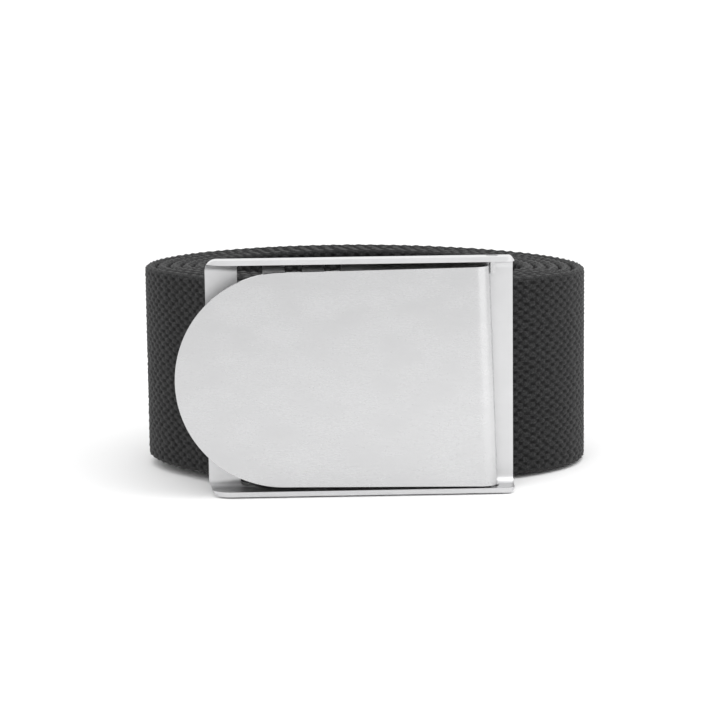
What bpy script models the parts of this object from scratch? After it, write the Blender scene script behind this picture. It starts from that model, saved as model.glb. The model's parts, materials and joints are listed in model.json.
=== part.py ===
"""A dive weight belt, rolled up and standing on its edge: webbing threaded through a steel quick-release buckle.

X runs along the buckle, Y away from its front and Z up. While it is built, Y = 0 is the front face of the
buckle's base plate and Z = 0 the buckle's middle; the last step moves everything so that the belt stands on
Z = 0 with the middle of its bounding box over the origin.
"""

import math

import bmesh
import bpy
from mathutils import Vector

MM = 0.001

# Webbing: one strap, threaded through the buckle at one end and rolled up.
WEB_WIDTH = 50 * MM
WEB_THICK = 2.4 * MM
WEB_EDGE = 0.6 * MM         # how far its edges are rounded off
TURN_PITCH = 3.2 * MM       # centre line to centre line of two turns
TURNS = 5.1                 # counted from the coil's front
COIL_X = 3.4 * MM           # the coil's middle, from the buckle's
COIL_HALF_WIDTH = 57.3 * MM
COIL_WIDEST_Y = 42 * MM
COIL_BACK_DEPTH = 53.5 * MM  # behind the widest place
FRONT_LEFT_EXPONENT = 1.9   # superellipses; 2 is an ellipse
FRONT_RIGHT_EXPONENT = 2.3
BACK_EXPONENT = 1.85
COIL_STATIONS = 44          # cross sections in a turn
TAIL_END_X = 12 * MM
WEB_LOW = 2.2 * MM          # the strap rests low in the buckle,
WEB_BACK_FALL = 0.0145      # falls towards the coil's back until it touches the floor,
WEB_RIGHT_FALL = 0.016      # and sits slightly crooked
THREAD_RADIUS = 2.0 * MM    # of the strap's middle line round a bar

# Buckle frame: one sheet, its two long sides bent forward and three slots punched in its base.
SHEET = 1.2 * MM
FRAME_LENGTH = 75 * MM
FRAME_HEIGHT = 58 * MM
FLANGE_DEPTH = 7 * MM
BEND_RADIUS = 3.6 * MM      # outside
LEFT_CORNER = 6 * MM        # of a flange, seen from above
RIGHT_CORNER = 2.2 * MM
LEFT_ROUND = 3.3 * MM       # of the whole frame, seen from the front
RIGHT_ROUND = 1.5 * MM
END_BAR_WIDTH = 7.8 * MM
ENTRY_SLOT_WIDTH = 6.3 * MM
LOOP_BAR_WIDTH = 5.3 * MM
RETURN_SLOT_WIDTH = 4.3 * MM
SPARE_BAR_WIDTH = 5.3 * MM
SPARE_SLOT_WIDTH = 4.2 * MM
SLOT_HALF_LENGTH = 27.4 * MM
SLOT_CORNER = 1.1 * MM
PIVOT_HOLE_RADIUS = 1.5 * MM

# Release lever: a plate with a round end, its other end bent back into a toothed clamping edge.
LEVER_PROUD = 0.5 * MM      # in front of the flanges
LEVER_DROP = 0.3 * MM       # it hangs on the play in its pivots
LEVER_OVERHANG = 7.5 * MM   # past the frame's left end
LEVER_RIGHT_X = 32.75 * MM
LEVER_LEAN = 0.65 * MM      # its bend is out of square: so much further left at the top, and right at the foot
LEVER_END_WIDTH = 52.6 * MM
LEVER_HINGE_WIDTH = 54 * MM
LEVER_BEND = 4.2 * MM       # outside
PIVOT_X = 32.2 * MM
PIVOT_BEHIND_FACE = 4 * MM
CLAMP_GAP = 0.4 * MM        # clamping edge to base, closed
CLAMP_CORNER = 1.4 * MM
TOOTH_COUNT = 15
TOOTH_DEPTH = 0.6 * MM
LUG_DEPTH = 2.4 * MM        # the lugs that turn in the flanges, front to back

ROUND_STEPS = 32            # sides of a full circle
GAP = 0.3 * MM              # left between touching pieces
STEEL_COLOUR = (0.62, 0.62, 0.63, 1)
WEB_COLOUR = (0.02, 0.02, 0.021, 1)

# Worked out from the dimensions above.
FRAME_LEFT = -FRAME_LENGTH / 2
FRAME_RIGHT = FRAME_LENGTH / 2
ENTRY_SLOT_LEFT = FRAME_LEFT + END_BAR_WIDTH
LOOP_BAR_LEFT = ENTRY_SLOT_LEFT + ENTRY_SLOT_WIDTH
RETURN_SLOT_LEFT = LOOP_BAR_LEFT + LOOP_BAR_WIDTH
SPARE_BAR_LEFT = RETURN_SLOT_LEFT + RETURN_SLOT_WIDTH
SPARE_SLOT_LEFT = SPARE_BAR_LEFT + SPARE_BAR_WIDTH
LEVER_FRONT = -FLANGE_DEPTH - LEVER_PROUD
PIVOT_Y = LEVER_FRONT + PIVOT_BEHIND_FACE
OVER_BAR_Y = -GAP - WEB_THICK / 2
TAIL_Y = SHEET + GAP + WEB_THICK / 2
COIL_FRONT_Y = TAIL_Y + GAP + WEB_THICK  # where the first full turn passes behind the tail
COIL_FRONT_DEPTH = COIL_WIDEST_Y - COIL_FRONT_Y + TURN_PITCH


def material(name, colour, roughness, metallic):
    made = bpy.data.materials.new(name)
    made.use_nodes = True
    shader = made.node_tree.nodes["Principled BSDF"]
    shader.inputs["Base Color"].default_value = colour
    shader.inputs["Roughness"].default_value = roughness
    shader.inputs["Metallic"].default_value = metallic
    return made


def arc(centre, radius, start, end, steps):
    """Points on an arc, both ends included; angles in degrees."""
    return [
        Vector((centre[0] + radius * math.cos(angle), centre[1] + radius * math.sin(angle)))
        for angle in (math.radians(start + (end - start) * i / steps) for i in range(steps + 1))
    ]


def solid(name, mesh):
    bmesh.ops.recalc_face_normals(mesh, faces=mesh.faces)
    data = bpy.data.meshes.new(name)
    mesh.to_mesh(data)
    mesh.free()
    made = bpy.data.objects.new(name, data)
    bpy.context.scene.collection.objects.link(made)
    return made


def swept(name, sections):
    """A closed solid through cross sections, each a ring of as many points."""
    mesh = bmesh.new()
    rings = [[mesh.verts.new(point) for point in section] for section in sections]
    mesh.faces.new(rings[0])
    mesh.faces.new(list(reversed(rings[-1])))
    count = len(rings[0])
    for here, there in zip(rings, rings[1:]):
        for i in range(count):
            following = (i + 1) % count
            mesh.faces.new((here[i], there[i], there[following], here[following]))
    return solid(name, mesh)


def along_x(name, outline, low, high):
    """An outline in Y and Z, carried along X."""
    return swept(name, [[(at, u, v) for u, v in outline] for at in (low, high)])


def along_y(name, outline, low, high):
    """An outline in X and Z, carried along Y."""
    return swept(name, [[(u, at, v) for u, v in outline] for at in (low, high)])


def along_z(name, outline, low, high):
    """An outline in X and Y, carried along Z."""
    return swept(name, [[(u, v, at) for u, v in outline] for at in (low, high)])


def combine(made, other, operation):
    step = made.modifiers.new(operation.lower(), "BOOLEAN")
    step.operation = operation
    step.object = other
    other.hide_render = True
    other.display_type = "WIRE"


def rounded_box(left, right, bottom, top, radius):
    return (
        arc((right - radius, bottom + radius), radius, -90, 0, 4)
        + arc((right - radius, top - radius), radius, 0, 90, 4)
        + arc((left + radius, top - radius), radius, 90, 180, 4)
        + arc((left + radius, bottom + radius), radius, 180, 270, 4)
    )


def channel_outline():
    """The frame's section in Y and Z: the base, a flange at each side and the bends between them."""
    half = FRAME_HEIGHT / 2
    bend_y, bend_z, inner = SHEET - BEND_RADIUS, half - BEND_RADIUS, BEND_RADIUS - SHEET
    return (
        [(-FLANGE_DEPTH, -half)]
        + arc((bend_y, -bend_z), BEND_RADIUS, -90, 0, 8)
        + arc((bend_y, bend_z), BEND_RADIUS, 0, 90, 8)
        + [(-FLANGE_DEPTH, half), (-FLANGE_DEPTH, half - SHEET)]
        + arc((bend_y, bend_z), inner, 90, 0, 8)
        + arc((bend_y, -bend_z), inner, 0, -90, 8)
        + [(-FLANGE_DEPTH, SHEET - half)]
    )


def frame_plan():
    """The frame from above: square behind, its flanges' front corners rounded."""
    back = SHEET + 1 * MM
    front = -FLANGE_DEPTH
    return (
        [(FRAME_RIGHT, back), (FRAME_LEFT, back)]
        + arc((FRAME_LEFT + LEFT_CORNER, front + LEFT_CORNER), LEFT_CORNER, 180, 270, 10)
        + arc((FRAME_RIGHT - RIGHT_CORNER, front + RIGHT_CORNER), RIGHT_CORNER, 270, 360, 6)
    )


def frame_front():
    """The frame from the front, with its four corners rounded."""
    half = FRAME_HEIGHT / 2
    left, right = FRAME_LEFT + LEFT_ROUND, FRAME_RIGHT - RIGHT_ROUND
    return (
        arc((right, RIGHT_ROUND - half), RIGHT_ROUND, -90, 0, 5)
        + arc((right, half - RIGHT_ROUND), RIGHT_ROUND, 0, 90, 5)
        + arc((left, half - LEFT_ROUND), LEFT_ROUND, 90, 180, 8)
        + arc((left, LEFT_ROUND - half), LEFT_ROUND, 180, 270, 8)
    )


def buckle_frame():
    frame = along_x("buckle_frame", channel_outline(), FRAME_LEFT - 1 * MM, FRAME_RIGHT + 1 * MM)
    combine(frame, along_z("frame_plan", frame_plan(), -FRAME_HEIGHT, FRAME_HEIGHT), "INTERSECT")
    combine(frame, along_y("frame_front", frame_front(), -20 * MM, 5 * MM), "INTERSECT")
    slots = (
        ("entry_slot", ENTRY_SLOT_LEFT, LOOP_BAR_LEFT),
        ("return_slot", RETURN_SLOT_LEFT, SPARE_BAR_LEFT),
        ("spare_slot", SPARE_SLOT_LEFT, SPARE_SLOT_LEFT + SPARE_SLOT_WIDTH),
    )
    for name, left, right in slots:
        outline = rounded_box(left, right, -SLOT_HALF_LENGTH, SLOT_HALF_LENGTH, SLOT_CORNER)
        combine(frame, along_y(name, outline, -1.5 * MM, SHEET + 1 * MM), "DIFFERENCE")
    hole = arc((PIVOT_X, PIVOT_Y), PIVOT_HOLE_RADIUS, 0, 360, ROUND_STEPS)[:-1]
    combine(frame, along_z("pivot_holes", hole, -FRAME_HEIGHT, FRAME_HEIGHT), "DIFFERENCE")
    return frame


def lever_section(right, height):
    """The lever's section at a height: the plate's front, round the bend to the clamping edge, and back inside."""
    left = FRAME_LEFT - LEVER_OVERHANG
    bend = (right - LEVER_BEND, LEVER_FRONT + LEVER_BEND)
    outside = arc(bend, LEVER_BEND, -90, 0, 12)
    inside = arc(bend, LEVER_BEND - SHEET, 0, -90, 12)
    edge_y = -CLAMP_GAP
    outline = (
        [(left, LEVER_FRONT)] + outside + [(right, edge_y), (right - SHEET, edge_y)]
        + inside + [(left, LEVER_FRONT + SHEET)]
    )
    return [(x, y, height) for x, y in outline]


def lever_face():
    """The lever from the front: a half circle at its free end and sides that spread towards the pivots."""
    end_half, hinge_half = LEVER_END_WIDTH / 2, LEVER_HINGE_WIDTH / 2
    left, right = FRAME_LEFT - LEVER_OVERHANG, LEVER_RIGHT_X + 2 * MM
    return [(right, -hinge_half), (right, hinge_half)] + arc((left + end_half, 0), end_half, 90, 270, 36)


def clamp_edge():
    """The clamping edge seen from the right, in Y and Z, as what is left of it: teeth and two round corners."""
    half = LEVER_HINGE_WIDTH / 2
    back = -CLAMP_GAP
    low, high = -half + CLAMP_CORNER, half - CLAMP_CORNER
    pitch = (high - low) / TOOTH_COUNT
    teeth = []
    for i in range(TOOTH_COUNT):
        teeth += [(back, low + pitch * (i + 0.25)), (back - TOOTH_DEPTH, low + pitch * (i + 1))]
    corner_y = back - CLAMP_CORNER
    front = LEVER_FRONT - 1 * MM
    return (
        [(front, -half - 1 * MM), (corner_y, -half - 1 * MM), (corner_y, -half)]
        + arc((corner_y, low), CLAMP_CORNER, -90, -20, 5)
        + teeth[:-1]
        + arc((corner_y, high), CLAMP_CORNER, 20, 90, 5)
        + [(corner_y, half + 1 * MM), (front, half + 1 * MM)]
    )


def lug_outline():
    return rounded_box(
        PIVOT_X - SHEET / 2, PIVOT_X + SHEET / 2,
        PIVOT_Y - LUG_DEPTH / 2, PIVOT_Y + LUG_DEPTH / 2, 0.35 * MM,
    )


def release_lever():
    half = LEVER_HINGE_WIDTH / 2
    foot = lever_section(LEVER_RIGHT_X + LEVER_LEAN, -half)
    lever = swept("release_lever", [foot, lever_section(LEVER_RIGHT_X - LEVER_LEAN, half)])
    combine(lever, along_y("lever_face", lever_face(), -20 * MM, 5 * MM), "INTERSECT")
    combine(lever, along_x("clamp_edge", clamp_edge(), -80 * MM, 80 * MM), "INTERSECT")
    reach = FRAME_HEIGHT / 2 - 0.5 * MM
    for name, low, high in (("upper_lug", half - 2 * MM, reach), ("lower_lug", -reach, 2 * MM - half)):
        combine(lever, along_z(name, lug_outline(), low, high), "UNION")
    lever.location.z = -LEVER_DROP
    return lever


def coil_point(turns):
    """The spiral's middle line after so many turns from the coil's front, going left, back and right."""
    angle = math.tau * turns
    across, back = -math.sin(angle), -math.cos(angle)
    exponent, depth = BACK_EXPONENT, COIL_BACK_DEPTH
    if back < 0:
        exponent, depth = FRONT_LEFT_EXPONENT if across < 0 else FRONT_RIGHT_EXPONENT, COIL_FRONT_DEPTH
    shrink = TURN_PITCH * turns
    return Vector((
        COIL_X + math.copysign(abs(across) ** (2 / exponent), across) * (COIL_HALF_WIDTH - shrink),
        COIL_WIDEST_Y + math.copysign(abs(back) ** (2 / exponent), back) * (depth - shrink),
    ))


def rounded_path(corners, radius):
    """A line through the corners, each turned on an arc."""
    path = [corners[0]]
    for before, corner, after in zip(corners, corners[1:], corners[2:]):
        come, go = (corner - before).normalized(), (after - corner).normalized()
        turn = math.atan2(come.x * go.y - come.y * go.x, come.dot(go))
        back = radius * math.tan(abs(turn) / 2)
        side = Vector((-come.y, come.x)) * math.copysign(radius, turn)
        centre = corner - come * back + side
        steps = max(2, round(abs(math.degrees(turn)) / 15))
        start = math.degrees(math.atan2(-side.y, -side.x))
        path += arc(centre, radius, start, start + math.degrees(turn), steps)
    return path + [corners[-1]]


def leaving_turns(corner):
    """Where a straight run from the corner meets the coil without a kink."""
    turns = 0.02
    while turns < 0.25:
        here, ahead = coil_point(turns), coil_point(turns + 0.002)
        run, course = here - corner, ahead - here
        if run.x * course.y - run.y * course.x < 0:
            return turns
        turns += 0.001
    return turns


def web_path():
    """The strap's middle line from above: its tail, over one bar of the buckle, then round the coil."""
    return_x = RETURN_SLOT_LEFT + RETURN_SLOT_WIDTH / 2
    corner = Vector((LOOP_BAR_LEFT - 1.1 * MM, OVER_BAR_Y))
    first = leaving_turns(corner)
    threaded = rounded_path(
        [Vector((TAIL_END_X, TAIL_Y)), Vector((return_x, TAIL_Y)), Vector((return_x, OVER_BAR_Y)),
         corner, coil_point(first)],
        THREAD_RADIUS,
    )
    count = round((TURNS - first) * COIL_STATIONS)
    coil = [coil_point(first + (TURNS - first) * i / count) for i in range(1, count + 1)]
    return threaded + coil


def webbing():
    path = web_path()
    half, thick, edge = WEB_WIDTH / 2, WEB_THICK / 2, WEB_EDGE
    section = [
        (-thick, edge - half), (edge - thick, -half), (thick - edge, -half), (thick, edge - half),
        (thick, half - edge), (thick - edge, half), (edge - thick, half), (-thick, half - edge),
    ]
    rings = []
    for i, at in enumerate(path):
        course = (path[min(i + 1, len(path) - 1)] - path[max(i - 1, 0)]).normalized()
        side = Vector((-course.y, course.x))
        middle = -WEB_LOW - WEB_BACK_FALL * at.y - WEB_RIGHT_FALL * at.x
        rings.append([(at.x + side.x * u, at.y + side.y * u, middle + v) for u, v in section])
    return swept("webbing", rings)


def stand_on_floor(frame, lever, strap):
    """The belt's bounding box ends up centred over the origin, its underside at Z = 0."""
    points = [vertex.co for vertex in strap.data.vertices]
    left, right = min(p.x for p in points), max(p.x for p in points)
    shift = Vector((-(left + right) / 2, -(max(p.y for p in points) + LEVER_FRONT) / 2, FRAME_HEIGHT / 2))
    for piece in (frame, lever, strap):
        piece.location += shift
        for step in piece.modifiers:
            step.object.location += piece.location


def main():
    for old in list(bpy.data.objects):
        bpy.data.objects.remove(old)
    steel = material("stainless_steel", STEEL_COLOUR, 0.3, 1)
    fabric = material("black_webbing", WEB_COLOUR, 0.9, 0)
    frame, lever, strap = buckle_frame(), release_lever(), webbing()
    for piece, surface in ((frame, steel), (lever, steel), (strap, fabric)):
        piece.data.materials.append(surface)
    stand_on_floor(frame, lever, strap)


main()
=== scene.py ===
"""The looks of the dive weight belt: woven webbing, a pressed steel frame and a bent steel release lever.

Shapes are worked out as in the CAD, in its building coordinates: X = 0 and Z = 0 at the buckle's middle and
Y = 0 on the front face of the buckle's base plate. `origin()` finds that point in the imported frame.
"""

import json
import math

import bmesh
import bpy
import numpy as np
from mathutils import Matrix, Vector

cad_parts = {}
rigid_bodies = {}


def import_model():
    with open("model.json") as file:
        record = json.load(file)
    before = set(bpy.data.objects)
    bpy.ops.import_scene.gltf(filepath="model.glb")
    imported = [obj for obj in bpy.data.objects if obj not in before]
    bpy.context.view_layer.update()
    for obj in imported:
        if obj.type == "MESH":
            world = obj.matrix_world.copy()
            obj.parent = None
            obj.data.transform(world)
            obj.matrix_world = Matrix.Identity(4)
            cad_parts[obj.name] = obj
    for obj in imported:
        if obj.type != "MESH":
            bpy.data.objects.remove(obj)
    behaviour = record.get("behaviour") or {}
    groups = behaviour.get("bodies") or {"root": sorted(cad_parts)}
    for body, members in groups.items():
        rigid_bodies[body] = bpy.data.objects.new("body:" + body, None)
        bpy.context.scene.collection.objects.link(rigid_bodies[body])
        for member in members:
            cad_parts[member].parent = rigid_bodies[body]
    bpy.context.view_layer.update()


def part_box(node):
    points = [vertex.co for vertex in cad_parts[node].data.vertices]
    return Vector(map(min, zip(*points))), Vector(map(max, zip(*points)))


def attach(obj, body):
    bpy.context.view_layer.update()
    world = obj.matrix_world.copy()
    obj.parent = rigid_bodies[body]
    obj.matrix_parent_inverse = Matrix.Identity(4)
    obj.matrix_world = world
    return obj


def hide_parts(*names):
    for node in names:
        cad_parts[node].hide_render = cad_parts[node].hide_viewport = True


MM = 0.001

# The webbing, threaded through the buckle and rolled up.
WEB_WIDTH = 50 * MM
WEB_THICK = 2.4 * MM
TURN_PITCH = 3.2 * MM
TURNS = 5.1
COIL_X = 3.4 * MM
COIL_HALF_WIDTH = 57.3 * MM
COIL_WIDEST_Y = 42 * MM
COIL_BACK_DEPTH = 53.5 * MM
FRONT_LEFT_EXPONENT = 1.9
FRONT_RIGHT_EXPONENT = 2.3
BACK_EXPONENT = 1.85
TAIL_END_X = 12 * MM
WEB_LOW = 2.2 * MM
WEB_BACK_FALL = 0.0145
WEB_RIGHT_FALL = 0.016
THREAD_RADIUS = 2.0 * MM

# The buckle's frame.
SHEET = 1.2 * MM
FRAME_LENGTH = 75 * MM
FRAME_HEIGHT = 58 * MM
FLANGE_DEPTH = 7 * MM
BEND_RADIUS = 3.6 * MM
LEFT_CORNER = 6 * MM
RIGHT_CORNER = 2.2 * MM
LEFT_ROUND = 3.3 * MM
RIGHT_ROUND = 1.5 * MM
END_BAR_WIDTH = 7.8 * MM
ENTRY_SLOT_WIDTH = 6.3 * MM
LOOP_BAR_WIDTH = 5.3 * MM
RETURN_SLOT_WIDTH = 4.3 * MM
SPARE_BAR_WIDTH = 5.3 * MM
SPARE_SLOT_WIDTH = 4.2 * MM
SLOT_HALF_LENGTH = 27.4 * MM
SLOT_CORNER = 1.1 * MM
PIVOT_HOLE_RADIUS = 1.5 * MM

# The release lever.
LEVER_PROUD = 0.5 * MM
LEVER_DROP = 0.3 * MM
LEVER_OVERHANG = 7.5 * MM
LEVER_RIGHT_X = 32.55 * MM
LEVER_LEAN = 0.85 * MM
LEVER_END_WIDTH = 52.6 * MM
LEVER_HINGE_WIDTH = 54 * MM
LEVER_BEND = 4.2 * MM
PIVOT_X = 32.2 * MM
PIVOT_BEHIND_FACE = 4 * MM
CLAMP_GAP = 0.4 * MM
CLAMP_CORNER = 1.4 * MM
TOOTH_COUNT = 15
TOOTH_DEPTH = 0.6 * MM
LUG_DEPTH = 2.4 * MM

# How the belt stands: the coil on the floor, the buckle just clear of it.
FLOOR_Z = -0.4 * MM
FLOOR_RADIUS = 12
FLOOR_THICK = 0.02
WEAVE_CLEARANCE = 0.07 * MM  # from the strap's lowest yarn to the line it would stand on

# What the CAD leaves out: rounded steel edges and the weave.
LEVER_ROUNDED = 0.42 * MM   # its edges are polished rounder than the frame's
DEBURRED = 0.28 * MM        # radius of the frame's tumbled edges
FACE_YARNS = 45             # along the strap, on each face
WEFT_PITCH = 1.65 * MM      # picks across it
STATION = WEFT_PITCH / 4
SELVEDGE = 1.0 * MM         # radius of the strap's edges
SELVEDGE_YARNS = 4          # round each edge
YARN_ROUND = 0.18 * MM
YARN_WAVE = 0.13 * MM       # up over a pick and down under the next
YARN_SWELL = 0.13 * MM      # a raised yarn spreads over its sunken neighbours
TURN_WANDER = 0.17 * MM     # the turns don't lie at quite even distances
EDGE_WANDER = 0.1 * MM      # nor at quite the same height
SEALED_END = 1.6 * MM       # melted so that it can't fray

# Camera and light.
CAMERA_DISTANCE = 0.6
CAMERA_ELEVATION = 9.119
CAMERA_AZIMUTH = -1.542
CAMERA_ROLL = -0.689
CAMERA_LENS = 124
CAMERA_TARGET = (-0.166 * MM, -7 * MM, 4.425 * MM)

# Worked out from the dimensions above.
GAP = 0.3 * MM
FRAME_LEFT = -FRAME_LENGTH / 2
FRAME_RIGHT = FRAME_LENGTH / 2
ENTRY_SLOT_LEFT = FRAME_LEFT + END_BAR_WIDTH
LOOP_BAR_LEFT = ENTRY_SLOT_LEFT + ENTRY_SLOT_WIDTH
RETURN_SLOT_LEFT = LOOP_BAR_LEFT + LOOP_BAR_WIDTH
SPARE_BAR_LEFT = RETURN_SLOT_LEFT + RETURN_SLOT_WIDTH
SPARE_SLOT_LEFT = SPARE_BAR_LEFT + SPARE_BAR_WIDTH
LEVER_FRONT = -FLANGE_DEPTH - LEVER_PROUD
PIVOT_Y = LEVER_FRONT + PIVOT_BEHIND_FACE
OVER_BAR_Y = -GAP - WEB_THICK / 2
TAIL_Y = SHEET + GAP + WEB_THICK / 2
COIL_FRONT_Y = TAIL_Y + GAP + WEB_THICK
COIL_FRONT_DEPTH = COIL_WIDEST_Y - COIL_FRONT_Y + TURN_PITCH
RING_YARNS = 2 * (FACE_YARNS + SELVEDGE_YARNS)


def origin():
    """The middle of the base plate's front face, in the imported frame."""
    low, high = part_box("buckle_frame")
    return Vector(((low.x + high.x) / 2, high.y - SHEET, (low.z + high.z) / 2))


# ---------------------------------------------------------------- solids from outlines


def arc(centre, radius, start, end, steps):
    """Points on an arc, both ends included; angles in degrees."""
    return [
        Vector((centre[0] + radius * math.cos(angle), centre[1] + radius * math.sin(angle)))
        for angle in (math.radians(start + (end - start) * i / steps) for i in range(steps + 1))
    ]


def swept(name, sections):
    mesh = bmesh.new()
    rings = [[mesh.verts.new(point) for point in section] for section in sections]
    mesh.faces.new(rings[0])
    mesh.faces.new(list(reversed(rings[-1])))
    count = len(rings[0])
    for here, there in zip(rings, rings[1:]):
        for i in range(count):
            following = (i + 1) % count
            mesh.faces.new((here[i], there[i], there[following], here[following]))
    bmesh.ops.recalc_face_normals(mesh, faces=mesh.faces)
    data = bpy.data.meshes.new(name)
    mesh.to_mesh(data)
    mesh.free()
    made = bpy.data.objects.new(name, data)
    bpy.context.scene.collection.objects.link(made)
    return made


def along_x(name, outline, low, high):
    return swept(name, [[(at, u, v) for u, v in outline] for at in (low, high)])


def along_y(name, outline, low, high):
    return swept(name, [[(u, at, v) for u, v in outline] for at in (low, high)])


def along_z(name, outline, low, high):
    return swept(name, [[(u, v, at) for u, v in outline] for at in (low, high)])


def combine(made, other, operation):
    step = made.modifiers.new(operation.lower(), "BOOLEAN")
    step.operation = operation
    step.object = other


def finished(rough, name, place, radius):
    """The rough solid with its Booleans carried out and its edges rounded, as a new piece in place."""
    helpers = [step.object for step in rough.modifiers]
    bevel = rough.modifiers.new("deburred", "BEVEL")
    bevel.width = radius
    bevel.segments = 3
    bevel.limit_method = "ANGLE"
    bevel.angle_limit = math.radians(25)
    bevel.miter_outer = "MITER_ARC"
    bevel.harden_normals = False
    rough.modifiers.new("normals", "WEIGHTED_NORMAL")
    rough.data.shade_smooth()
    bpy.context.view_layer.update()
    graph = bpy.context.evaluated_depsgraph_get()
    solid = rough.evaluated_get(graph)
    data = bpy.data.meshes.new_from_object(solid, preserve_all_data_layers=True, depsgraph=graph)
    data.name = name
    data.transform(Matrix.Translation(place))
    piece = bpy.data.objects.new(name, data)
    bpy.context.scene.collection.objects.link(piece)
    for used in helpers + [rough]:
        bpy.data.objects.remove(used)
    return piece


def rounded_box(left, right, bottom, top, radius, steps):
    return (
        arc((right - radius, bottom + radius), radius, -90, 0, steps)
        + arc((right - radius, top - radius), radius, 0, 90, steps)
        + arc((left + radius, top - radius), radius, 90, 180, steps)
        + arc((left + radius, bottom + radius), radius, 180, 270, steps)
    )


# ---------------------------------------------------------------- buckle frame


def channel_outline():
    """The frame's section in Y and Z: the base, a flange at each side and the bends between them."""
    half = FRAME_HEIGHT / 2
    bend_y, bend_z, inner = SHEET - BEND_RADIUS, half - BEND_RADIUS, BEND_RADIUS - SHEET
    return (
        [(-FLANGE_DEPTH, -half)]
        + arc((bend_y, -bend_z), BEND_RADIUS, -90, 0, 14)
        + arc((bend_y, bend_z), BEND_RADIUS, 0, 90, 14)
        + [(-FLANGE_DEPTH, half), (-FLANGE_DEPTH, half - SHEET)]
        + arc((bend_y, bend_z), inner, 90, 0, 10)
        + arc((bend_y, -bend_z), inner, 0, -90, 10)
        + [(-FLANGE_DEPTH, SHEET - half)]
    )


def frame_plan():
    """The frame from above: square behind, its flanges' front corners rounded."""
    back = SHEET + 1 * MM
    front = -FLANGE_DEPTH
    return (
        [(FRAME_RIGHT, back), (FRAME_LEFT, back)]
        + arc((FRAME_LEFT + LEFT_CORNER, front + LEFT_CORNER), LEFT_CORNER, 180, 270, 20)
        + arc((FRAME_RIGHT - RIGHT_CORNER, front + RIGHT_CORNER), RIGHT_CORNER, 270, 360, 12)
    )


def frame_front():
    """The frame from the front, with its four corners rounded."""
    half = FRAME_HEIGHT / 2
    left, right = FRAME_LEFT + LEFT_ROUND, FRAME_RIGHT - RIGHT_ROUND
    return (
        arc((right, RIGHT_ROUND - half), RIGHT_ROUND, -90, 0, 8)
        + arc((right, half - RIGHT_ROUND), RIGHT_ROUND, 0, 90, 8)
        + arc((left, half - LEFT_ROUND), LEFT_ROUND, 90, 180, 16)
        + arc((left, LEFT_ROUND - half), LEFT_ROUND, 180, 270, 16)
    )


def buckle_frame(place):
    frame = along_x("rough_frame", channel_outline(), FRAME_LEFT - 1 * MM, FRAME_RIGHT + 1 * MM)
    combine(frame, along_z("frame_plan", frame_plan(), -FRAME_HEIGHT, FRAME_HEIGHT), "INTERSECT")
    combine(frame, along_y("frame_front", frame_front(), -20 * MM, 5 * MM), "INTERSECT")
    slots = (
        ("entry_slot", ENTRY_SLOT_LEFT, LOOP_BAR_LEFT),
        ("return_slot", RETURN_SLOT_LEFT, SPARE_BAR_LEFT),
        ("spare_slot", SPARE_SLOT_LEFT, SPARE_SLOT_LEFT + SPARE_SLOT_WIDTH),
    )
    for name, left, right in slots:
        outline = rounded_box(left, right, -SLOT_HALF_LENGTH, SLOT_HALF_LENGTH, SLOT_CORNER, 5)
        combine(frame, along_y(name, outline, -1.5 * MM, SHEET + 1 * MM), "DIFFERENCE")
    hole = arc((PIVOT_X, PIVOT_Y), PIVOT_HOLE_RADIUS, 0, 360, 32)[:-1]
    combine(frame, along_z("pivot_holes", hole, -FRAME_HEIGHT, FRAME_HEIGHT), "DIFFERENCE")
    return finished(frame, "pressed_frame", place, DEBURRED)


# ---------------------------------------------------------------- release lever


def lever_section(right, height):
    """The lever's section at a height: the plate's front, the bend, the clamping edge, and back inside."""
    left = FRAME_LEFT - LEVER_OVERHANG
    bend = (right - LEVER_BEND, LEVER_FRONT + LEVER_BEND)
    edge_y = -CLAMP_GAP
    outline = (
        [(left, LEVER_FRONT)]
        + arc(bend, LEVER_BEND, -90, 0, 20)
        + [(right, edge_y), (right - SHEET, edge_y)]
        + arc(bend, LEVER_BEND - SHEET, 0, -90, 16)
        + [(left, LEVER_FRONT + SHEET)]
    )
    return [(x, y, height) for x, y in outline]


def lever_face():
    """The lever from the front: a half circle at its free end and sides that spread towards the pivots."""
    end_half, hinge_half = LEVER_END_WIDTH / 2, LEVER_HINGE_WIDTH / 2
    left, right = FRAME_LEFT - LEVER_OVERHANG, LEVER_RIGHT_X + 2 * MM
    return [(right, -hinge_half), (right, hinge_half)] + arc((left + end_half, 0), end_half, 90, 270, 90)


def clamp_edge():
    """What is left of the clamping edge, seen from the right in Y and Z: teeth and two round corners."""
    half = LEVER_HINGE_WIDTH / 2
    back = -CLAMP_GAP
    low, high = -half + CLAMP_CORNER, half - CLAMP_CORNER
    pitch = (high - low) / TOOTH_COUNT
    teeth = []
    for i in range(TOOTH_COUNT):
        teeth += [(back, low + pitch * (i + 0.25)), (back - TOOTH_DEPTH, low + pitch * (i + 1))]
    corner_y = back - CLAMP_CORNER
    front = LEVER_FRONT - 1 * MM
    return (
        [(front, -half - 1 * MM), (corner_y, -half - 1 * MM), (corner_y, -half)]
        + arc((corner_y, low), CLAMP_CORNER, -90, -20, 8)
        + teeth[:-1]
        + arc((corner_y, high), CLAMP_CORNER, 20, 90, 8)
        + [(corner_y, half + 1 * MM), (front, half + 1 * MM)]
    )


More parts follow.
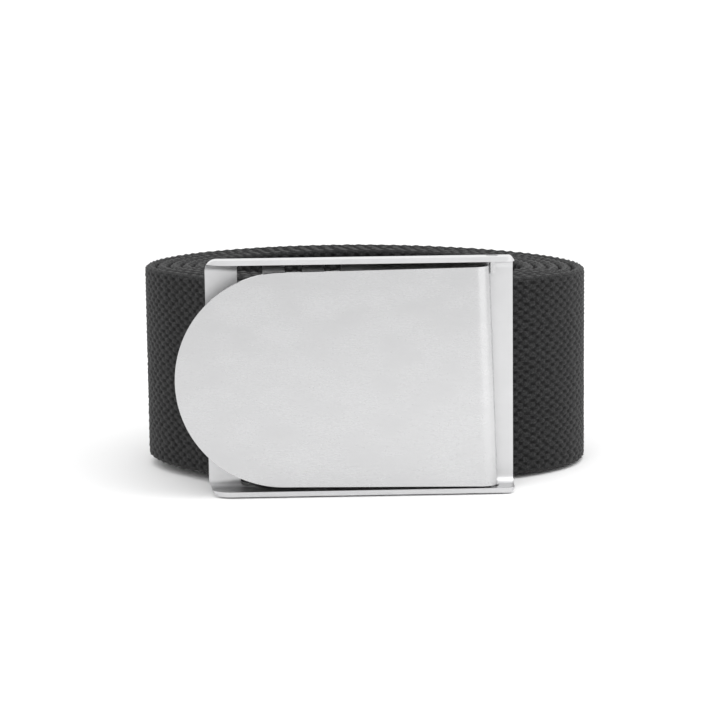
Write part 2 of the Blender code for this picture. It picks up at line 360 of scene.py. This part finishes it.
def release_lever(place):
    half = LEVER_HINGE_WIDTH / 2
    foot = lever_section(LEVER_RIGHT_X + LEVER_LEAN, -half)
    lever = swept("rough_lever", [foot, lever_section(LEVER_RIGHT_X - LEVER_LEAN, half)])
    combine(lever, along_y("lever_face", lever_face(), -20 * MM, 5 * MM), "INTERSECT")
    combine(lever, along_x("clamp_edge", clamp_edge(), -80 * MM, 80 * MM), "INTERSECT")
    lug = rounded_box(
        PIVOT_X - SHEET / 2, PIVOT_X + SHEET / 2,
        PIVOT_Y - LUG_DEPTH / 2, PIVOT_Y + LUG_DEPTH / 2, 0.35 * MM, 4,
    )
    reach = FRAME_HEIGHT / 2 - 0.5 * MM
    for name, low, high in (("upper_lug", half - 2 * MM, reach), ("lower_lug", -reach, 2 * MM - half)):
        combine(lever, along_z(name, lug, low, high), "UNION")
    return finished(lever, "steel_lever", place - Vector((0, 0, LEVER_DROP)), LEVER_ROUNDED)


# ---------------------------------------------------------------- webbing


def coil_points(turns):
    """The spiral's middle line after so many turns from the coil's front, going left, back and right."""
    angle = math.tau * turns
    across, back = -np.sin(angle), -np.cos(angle)
    front = np.where(across < 0, FRONT_LEFT_EXPONENT, FRONT_RIGHT_EXPONENT)
    exponent = np.where(back < 0, front, BACK_EXPONENT)
    depth = np.where(back < 0, COIL_FRONT_DEPTH, COIL_BACK_DEPTH)
    shrink = TURN_PITCH * turns
    x = COIL_X + np.sign(across) * np.abs(across) ** (2 / exponent) * (COIL_HALF_WIDTH - shrink)
    y = COIL_WIDEST_Y + np.sign(back) * np.abs(back) ** (2 / exponent) * (depth - shrink)
    return np.stack([x, y], axis=-1)


def rounded_path(corners, radius):
    """A line through the corners, each turned on an arc."""
    path = [corners[0]]
    for before, corner, after in zip(corners, corners[1:], corners[2:]):
        come, go = (corner - before).normalized(), (after - corner).normalized()
        turn = math.atan2(come.x * go.y - come.y * go.x, come.dot(go))
        back = radius * math.tan(abs(turn) / 2)
        side = Vector((-come.y, come.x)) * math.copysign(radius, turn)
        centre = corner - come * back + side
        steps = max(4, round(abs(math.degrees(turn)) / 5))
        start = math.degrees(math.atan2(-side.y, -side.x))
        path += arc(centre, radius, start, start + math.degrees(turn), steps)
    return path + [corners[-1]]


def leaving_turns(corner):
    """Where a straight run from the corner meets the coil without a kink."""
    turns = np.arange(0.02, 0.25, 0.001)
    here = coil_points(turns)
    run, course = here - np.array(corner), coil_points(turns + 0.002) - here
    return float(turns[np.argmax(run[:, 0] * course[:, 1] - run[:, 1] * course[:, 0] < 0)])


def strap_line():
    """(points, turns) of the strap's middle line every STATION along it; turns is 0 before the coil."""
    return_x = RETURN_SLOT_LEFT + RETURN_SLOT_WIDTH / 2
    corner = Vector((LOOP_BAR_LEFT - 1.1 * MM, OVER_BAR_Y))
    first = leaving_turns(corner)
    threaded = rounded_path(
        [Vector((TAIL_END_X, TAIL_Y)), Vector((return_x, TAIL_Y)), Vector((return_x, OVER_BAR_Y)),
         corner, Vector(coil_points(np.array([first]))[0])],
        THREAD_RADIUS,
    )
    coil_turns = np.linspace(first, TURNS, 4000)[1:]
    points = np.concatenate([np.array([tuple(p) for p in threaded]), coil_points(coil_turns)])
    turns = np.concatenate([np.zeros(len(threaded)), coil_turns])
    run = np.concatenate([[0], np.cumsum(np.linalg.norm(np.diff(points, axis=0), axis=1))])
    at = np.linspace(0, run[-1], round(run[-1] / STATION) + 1)
    return (
        np.stack([np.interp(at, run, points[:, 0]), np.interp(at, run, points[:, 1])], axis=-1),
        np.interp(at, run, turns), at,
    )


def smooth_noise(seed, count, knots, cycles):
    """`count` smooth random curves, each from `knots` random values within 1 of 0, read at 0 to 1."""
    draw = np.random.default_rng(seed).uniform(-1, 1, (count, knots + 3))
    at = np.clip(cycles, 0, 1) * knots
    cell = np.minimum(at.astype(int), knots - 1)
    t = at - cell
    weights = (
        (1 - t) ** 3 / 6, (3 * t**3 - 6 * t**2 + 4) / 6,
        (-3 * t**3 + 3 * t**2 + 3 * t + 1) / 6, t**3 / 6,
    )
    return sum(weight * draw[:, cell + k] for k, weight in enumerate(weights))


def ring_columns(outer_fine, inner_fine):
    """Yarn coordinates of a cross section's points, going up the outer face and down the inner one."""
    fine = np.array([0, 0.2, 0.5, 0.8])

    def face(start, detailed):
        if not detailed:
            return [start, start + FACE_YARNS / 2]
        return [start + yarn + part for yarn in range(FACE_YARNS) for part in fine]

    def selvedge(start):
        return [start + i / 2 for i in range(2 * SELVEDGE_YARNS)]

    top = FACE_YARNS
    inner = top + SELVEDGE_YARNS
    bottom = inner + FACE_YARNS
    return np.array(face(0, outer_fine) + selvedge(top) + face(inner, inner_fine) + selvedge(bottom))


def section_point(w):
    """Where yarn coordinate w lies on the strap's section: (out, up) and the outward normal there."""
    half, thick = WEB_WIDTH / 2 - SELVEDGE, WEB_THICK / 2
    w = np.mod(w, RING_YARNS)
    lap = FACE_YARNS + SELVEDGE_YARNS
    second = w >= lap
    along = np.where(second, w - lap, w)
    on_face = along <= FACE_YARNS
    angle = np.where(on_face, 0, (along - FACE_YARNS) / SELVEDGE_YARNS * math.pi)
    up = np.where(on_face, along / FACE_YARNS * 2 * half - half, half + SELVEDGE * np.sin(angle))
    out = np.where(on_face, thick, thick * np.cos(angle))
    normal_out, normal_up = np.cos(angle), np.sin(angle)
    flip = np.where(second, -1.0, 1.0)
    return out * flip, up * flip, normal_out * flip, normal_up * flip


def yarn_waves(at):
    """For each yarn round the section, how high it lies along the strap: 1 over a pick, -1 under one."""
    share = at / at[-1]
    picks = at / WEFT_PITCH + 0.3 * smooth_noise(3, 1, 700, share)[0]
    wander = 0.6 * smooth_noise(11, RING_YARNS, 90, share) + 0.6 * smooth_noise(12, RING_YARNS, 700, share)
    lie = np.cos(math.pi * (picks + np.arange(RING_YARNS)[:, None]) + wander)
    return (lie * (1 + 0.35 * smooth_noise(13, RING_YARNS, 900, share))).T


def woven(waves, w):
    """(height, sideways shift, painted pit shade 0 to 1) of the weave at the stations of `waves` and columns
    w.
    """
    yarn = np.floor(w + 1e-6).astype(int)
    part = w - yarn
    valley = part < 0.01
    here, before = waves[:, np.mod(yarn, RING_YARNS)], waves[:, np.mod(yarn - 1, RING_YARNS)]
    lift = np.where(valley, (here + before) / 2, here)
    rounding = np.sqrt(1 - 0.96 * (2 * part - 1) ** 2)
    height = YARN_ROUND * (rounding - 0.65) + YARN_WAVE * (lift - 0.3)
    shift = np.where(valley, (before - here) / 2, 0) * YARN_SWELL
    # Painted shade: deepest in the valleys between yarns and where a yarn sinks under a pick.
    pit_shade = np.clip(0.5 - 0.5 * lift, 0, 1) * np.where(valley, 0.8, 0.6 + 0.4 * rounding)
    return height, shift, pit_shade


def strap_zones(turns):
    """(first station, last station, outer face detailed, inner face detailed) of each stretch."""
    outer_end = int(np.searchsorted(turns, 1.06))
    inner_start = int(np.searchsorted(turns, TURNS - 1.12))
    return [(0, outer_end, True, False), (outer_end, inner_start, False, False),
            (inner_start, len(turns) - 1, False, True)]


def webbing(place):
    line, turns, at = strap_line()
    course = np.gradient(line, axis=0)
    course /= np.linalg.norm(course, axis=1)[:, None]
    side = np.stack([-course[:, 1], course[:, 0]], axis=-1)
    share = at / at[-1]
    in_coil = np.clip((turns - 0.15) / 0.1, 0, 1)
    line = line + side * (TURN_WANDER * smooth_noise(21, 1, 38, share)[0] * in_coil)[:, None]
    rise = -WEB_LOW - WEB_BACK_FALL * line[:, 1] - WEB_RIGHT_FALL * line[:, 0]
    rise += EDGE_WANDER * (1 + smooth_noise(22, 1, 30, share)[0]) * in_coil
    waves = yarn_waves(at)
    points, faces, pit_shades, strands = [], [], [], []
    previous = None
    count = 0
    for first, last, outer_fine, inner_fine in strap_zones(turns):
        columns = ring_columns(outer_fine, inner_fine)
        stations = np.arange(first + (1 if previous is not None else 0), last + 1)
        height, shift, pit_shade = woven(waves[stations], columns)
        out, up, normal_out, normal_up = section_point(columns)
        sealed = np.clip(np.minimum(at[stations], at[-1] - at[stations]) / SEALED_END, 0, 1)[:, None]
        plain = np.where(np.isin(columns, ring_columns(False, False)) & (normal_up == 0), 0.0, 1.0)
        height = height * sealed * plain
        shift = shift * sealed
        u = out + normal_out * height - normal_up * shift
        v = up + normal_up * height + normal_out * shift
        x = line[stations, 0][:, None] + side[stations, 0][:, None] * u
        y = line[stations, 1][:, None] + side[stations, 1][:, None] * u
        z = rise[stations][:, None] + v
        ids = count + np.arange(x.size).reshape(x.shape)
        count += x.size
        points.append(np.stack([x, y, z], axis=-1).reshape(-1, 3))
        pit_shades.append(pit_shade.ravel())
        strands.append(np.stack(
            [np.broadcast_to(at[stations][:, None], x.shape), np.broadcast_to(columns, x.shape),
             np.broadcast_to(sealed, x.shape)], axis=-1).reshape(-1, 3))
        if previous is not None:
            faces += joined(previous, (ids[0], columns))
        else:
            faces.append(list(ids[0][::-1]))
        following = np.roll(ids, -1, axis=1)
        quads = np.stack([ids[:-1], following[:-1], following[1:], ids[1:]], axis=-1)
        faces += quads.reshape(-1, 4).tolist()
        previous = (ids[-1], columns)
    faces.append(list(previous[0]))
    data = bpy.data.meshes.new("woven_strap")
    data.from_pydata((np.concatenate(points) + np.array(place)).tolist(), [], faces)
    data.shade_smooth()
    # The weave's painted pit shade, stored on the points so the material can darken the colour by it.
    pit_shade_values = data.attributes.new("pit_shade", "FLOAT", "POINT")
    pit_shade_values.data.foreach_set("value", np.concatenate(pit_shades).astype(np.float32))
    strand = data.attributes.new("strand", "FLOAT_VECTOR", "POINT")
    strand.data.foreach_set("vector", np.concatenate(strands).astype(np.float32).ravel())
    data.update()
    piece = bpy.data.objects.new("woven_strap", data)
    bpy.context.scene.collection.objects.link(piece)
    return piece, at[-1]


def joined(before, after):
    """Faces between two rings of different columns: a face takes in several points of the finer one."""
    (ids_a, columns_a), (ids_b, columns_b) = before, after
    shared = sorted(set(columns_a) & set(columns_b))
    faces = []
    for low, high in zip(shared, shared[1:] + [shared[0] + RING_YARNS]):
        def stretch(ids, columns):
            inside = [k for k in range(len(columns)) if low <= columns[k] <= high]
            chain = [int(ids[k]) for k in inside]
            if high >= RING_YARNS:
                chain.append(int(ids[0]))
            return chain
        faces.append(stretch(ids_a, columns_a) + stretch(ids_b, columns_b)[::-1])
    return faces


# ---------------------------------------------------------------- materials


class Nodes:
    """A material's node tree, with short calls for the nodes that the materials use."""

    def __init__(self, name):
        self.material = bpy.data.materials.new(name)
        self.material.use_nodes = True
        self.tree = self.material.node_tree
        self.shader = self.tree.nodes["Principled BSDF"]

    def add(self, kind, **settings):
        made = self.tree.nodes.new(kind)
        for key, value in settings.items():
            setattr(made, key, value)
        return made

    def put(self, socket, value):
        if isinstance(value, bpy.types.NodeSocket):
            self.tree.links.new(value, socket)
        else:
            socket.default_value = value

    def math(self, operation, *values):
        made = self.add("ShaderNodeMath", operation=operation)
        for socket, value in zip(made.inputs, values):
            self.put(socket, value)
        return made.outputs[0]

    def span(self, value, from_low, from_high, to_low, to_high):
        made = self.add("ShaderNodeMapRange")
        for socket, given in zip(made.inputs, (value, from_low, from_high, to_low, to_high)):
            self.put(socket, given)
        return made.outputs["Result"]

    def stretched(self, source, scale, turn=0.0):
        made = self.add("ShaderNodeMapping")
        self.put(made.inputs["Vector"], source)
        made.inputs["Scale"].default_value = scale
        made.inputs["Rotation"].default_value = (0, turn, 0)
        return made.outputs["Vector"]

    def noise(self, source, scale, detail=2.0, roughness=0.5):
        made = self.add("ShaderNodeTexNoise")
        self.put(made.inputs["Vector"], source)
        made.inputs["Scale"].default_value = scale
        made.inputs["Detail"].default_value = detail
        made.inputs["Roughness"].default_value = roughness
        return made.outputs["Fac"]

    def mix(self, share, low, high):
        made = self.add("ShaderNodeMix", data_type="RGBA")
        self.put(made.inputs["Factor"], share)
        self.put(made.inputs["A"], low)
        self.put(made.inputs["B"], high)
        return made.outputs["Result"]

    def towards(self, source, direction, from_angle, to_angle):
        """0 where a unit vector is over from_angle off a direction, 1 within to_angle of it; degrees."""
        dot = self.add("ShaderNodeVectorMath", operation="DOT_PRODUCT")
        self.put(dot.inputs[0], source)
        dot.inputs[1].default_value = Vector(direction).normalized()
        low, high = math.cos(math.radians(from_angle)), math.cos(math.radians(to_angle))
        made = self.add("ShaderNodeMapRange", interpolation_type="SMOOTHSTEP")
        for socket, given in zip(made.inputs, (dot.outputs["Value"], low, high, 0, 1)):
            self.put(socket, given)
        return made.outputs["Result"]

    def bump(self, height, distance, strength, normal=None):
        made = self.add("ShaderNodeBump")
        self.put(made.inputs["Height"], height)
        made.inputs["Distance"].default_value = distance
        made.inputs["Strength"].default_value = strength
        if normal is not None:
            self.put(made.inputs["Normal"], normal)
        return made.outputs["Normal"]


def steel(name, tint, dullness):
    """Satin stainless sheet: faintly wavy, cloudy in patches, with a fine lengthwise grain."""
    n = Nodes(name)
    place = n.add("ShaderNodeTexCoord").outputs["Object"]
    clouds = n.noise(n.stretched(place, (90, 160, 160)), 1.0, 3.0, 0.55)
    swell = n.noise(n.stretched(place, (28, 60, 45)), 1.0, 1.0)
    grain = n.noise(n.stretched(place, (350, 6000, 6000)), 1.0, 2.0, 0.6)
    dull = [channel * 0.97 for channel in tint] + [1]
    bright = [min(1, channel * 1.03) for channel in tint] + [1]
    n.put(n.shader.inputs["Base Color"], n.mix(n.span(clouds, 0.3, 0.7, 0, 1), dull, bright))
    cloudy = n.span(clouds, 0.3, 0.7, dullness - 0.03, dullness + 0.03)
    rough = n.math("ADD", cloudy, n.span(grain, 0.3, 0.7, -0.03, 0.03))
    n.put(n.shader.inputs["Roughness"], rough)
    n.shader.inputs["Metallic"].default_value = 1
    waves = n.bump(swell, 0.1 * MM, 0.2)
    n.put(n.shader.inputs["Normal"], n.bump(grain, 0.003 * MM, 0.4, waves))
    return n.material


def black_webbing():
    """Black polyester yarn: painted shade between and under the yarns, fine filaments along them."""
    n = Nodes("black_woven_webbing")
    pit_shade = n.add("ShaderNodeAttribute", attribute_name="pit_shade").outputs["Fac"]
    strand = n.add("ShaderNodeAttribute", attribute_name="strand").outputs["Vector"]
    filaments = n.noise(n.stretched(strand, (900, 9, 1)), 1.0, 2.0, 0.6)
    specks = n.noise(n.stretched(strand, (1900, 2.1, 1)), 1.0, 2.0, 0.65)
    patches = n.noise(n.stretched(strand, (60, 0.12, 1)), 1.0, 2.0)
    worn = n.mix(n.span(patches, 0.3, 0.7, 0, 1), (0.0035, 0.0035, 0.0038, 1), (0.006, 0.006, 0.0063, 1))
    light = n.mix(n.span(filaments, 0.3, 0.75, 0, 0.5), worn, (0.015, 0.015, 0.0155, 1))
    light = n.mix(n.span(specks, 0.47, 0.62, 0, 0.85), light, (0.028, 0.028, 0.0285, 1))
    # Painted shade: the colour darkens to near black in the weave's pits.
    shaded = n.mix(n.span(pit_shade, 0.35, 1, 0, 0.75), light, (0.003, 0.003, 0.003, 1))
    n.put(n.shader.inputs["Base Color"], shaded)
    n.put(n.shader.inputs["Roughness"], n.span(filaments, 0.3, 0.7, 0.62, 0.8))
    # The same painted pit-shade mask also lowers the specular there.
    n.put(n.shader.inputs["Specular IOR Level"], n.span(pit_shade, 0.2, 0.9, 0.26, 0.08))
    n.shader.inputs["Sheen Weight"].default_value = 0.05
    n.shader.inputs["Sheen Roughness"].default_value = 0.5
    n.put(n.shader.inputs["Normal"], n.bump(specks, 0.16 * MM, 0.6, n.bump(filaments, 0.08 * MM, 0.7)))
    return n.material


# ---------------------------------------------------------------- studio


def camera(place):
    elevation, azimuth = math.radians(CAMERA_ELEVATION), math.radians(CAMERA_AZIMUTH)
    back = Vector((
        math.sin(azimuth) * math.cos(elevation), -math.cos(azimuth) * math.cos(elevation), math.sin(elevation)
    ))
    made = bpy.data.objects.new("camera", bpy.data.cameras.new("camera"))
    made.data.lens = CAMERA_LENS
    made.data.sensor_width = 36
    made.data.clip_start = 0.01
    made.location = place + Vector(CAMERA_TARGET) + back * CAMERA_DISTANCE
    turn = back.to_track_quat("Z", "Y") @ Matrix.Rotation(math.radians(CAMERA_ROLL), 3, "Z").to_quaternion()
    made.rotation_euler = turn.to_euler()
    bpy.context.scene.collection.objects.link(made)
    bpy.context.scene.camera = made


def floor():
    made = along_z("floor", arc((0, 0), FLOOR_RADIUS, 0, 360, 64)[:-1], FLOOR_Z - FLOOR_THICK, FLOOR_Z)
    n = Nodes("pale_floor")
    n.shader.inputs["Base Color"].default_value = (0.92, 0.92, 0.92, 1)
    n.shader.inputs["Roughness"].default_value = 0.9
    n.shader.inputs["Specular IOR Level"].default_value = 0.1
    made.data.materials.append(n.material)


def softbox(name, size, place, target, watts):
    light = bpy.data.lights.new(name, "AREA")
    light.shape = "RECTANGLE"
    light.size, light.size_y = size
    light.energy = watts
    made = bpy.data.objects.new(name, light)
    made.location = place
    made.rotation_euler = (Vector(target) - Vector(place)).to_track_quat("-Z", "Y").to_euler()
    made.visible_camera = False
    bpy.context.scene.collection.objects.link(made)


class WorldNodes(Nodes):
    """A world's node tree, with the same short calls."""

    def __init__(self, name):
        self.world = bpy.data.worlds.new(name)
        self.world.use_nodes = True
        self.tree = self.world.node_tree


def studio():
    """A white cove, a little brighter behind and at the upper left, and three soft boxes."""
    w = WorldNodes("studio")
    way = w.add("ShaderNodeTexCoord").outputs["Generated"]
    light = w.math("ADD", 1.06, w.math("MULTIPLY", w.towards(way, (0, 1, 0.12), 55, 20), 0.28))
    light = w.math("ADD", light, w.math("MULTIPLY", w.towards(way, (-0.6, -0.35, 0.7), 60, 20), 0.35))
    w.put(w.tree.nodes["Background"].inputs["Strength"], light)
    w.tree.nodes["Background"].inputs["Color"].default_value = (1, 1, 1, 1)
    bpy.context.scene.world = w.world
    bpy.context.scene.view_settings.view_transform = "Standard"
    floor()
    softbox("overhead", (0.3, 0.3), (0, -0.14, 0.35), (0, -0.1, 0), 0.17)
    softbox("right_box", (0.34, 0.26), (0.29, -0.2, 0.132), (0.03, -0.045, 0.03), 0.13)
    softbox("right_top", (0.2, 0.2), (0.14, -0.12, 0.2), (0.14, -0.12, 0), 0.2)


def main():
    for old in list(bpy.data.objects):
        bpy.data.objects.remove(old)
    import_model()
    place = origin()
    camera(place)
    studio()
    frame, lever = buckle_frame(place), release_lever(place)
    strap, length = webbing(place + Vector((0, 0, FLOOR_Z - WEAVE_CLEARANCE)))
    frame.data.materials.append(steel("satin_steel_frame", (0.585, 0.585, 0.59), 0.42))
    lever.data.materials.append(steel("satin_steel_lever", (0.53, 0.53, 0.535), 0.26))
    strap.data.materials.append(black_webbing())
    for piece, body, node, slot in (
        (frame, "belt", "buckle_frame", "frame_steel"),
        (lever, "lever", "release_lever", "lever_steel"),
        (strap, "belt", "webbing", "webbing"),
    ):
        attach(piece, body)
        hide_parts(node)


main()
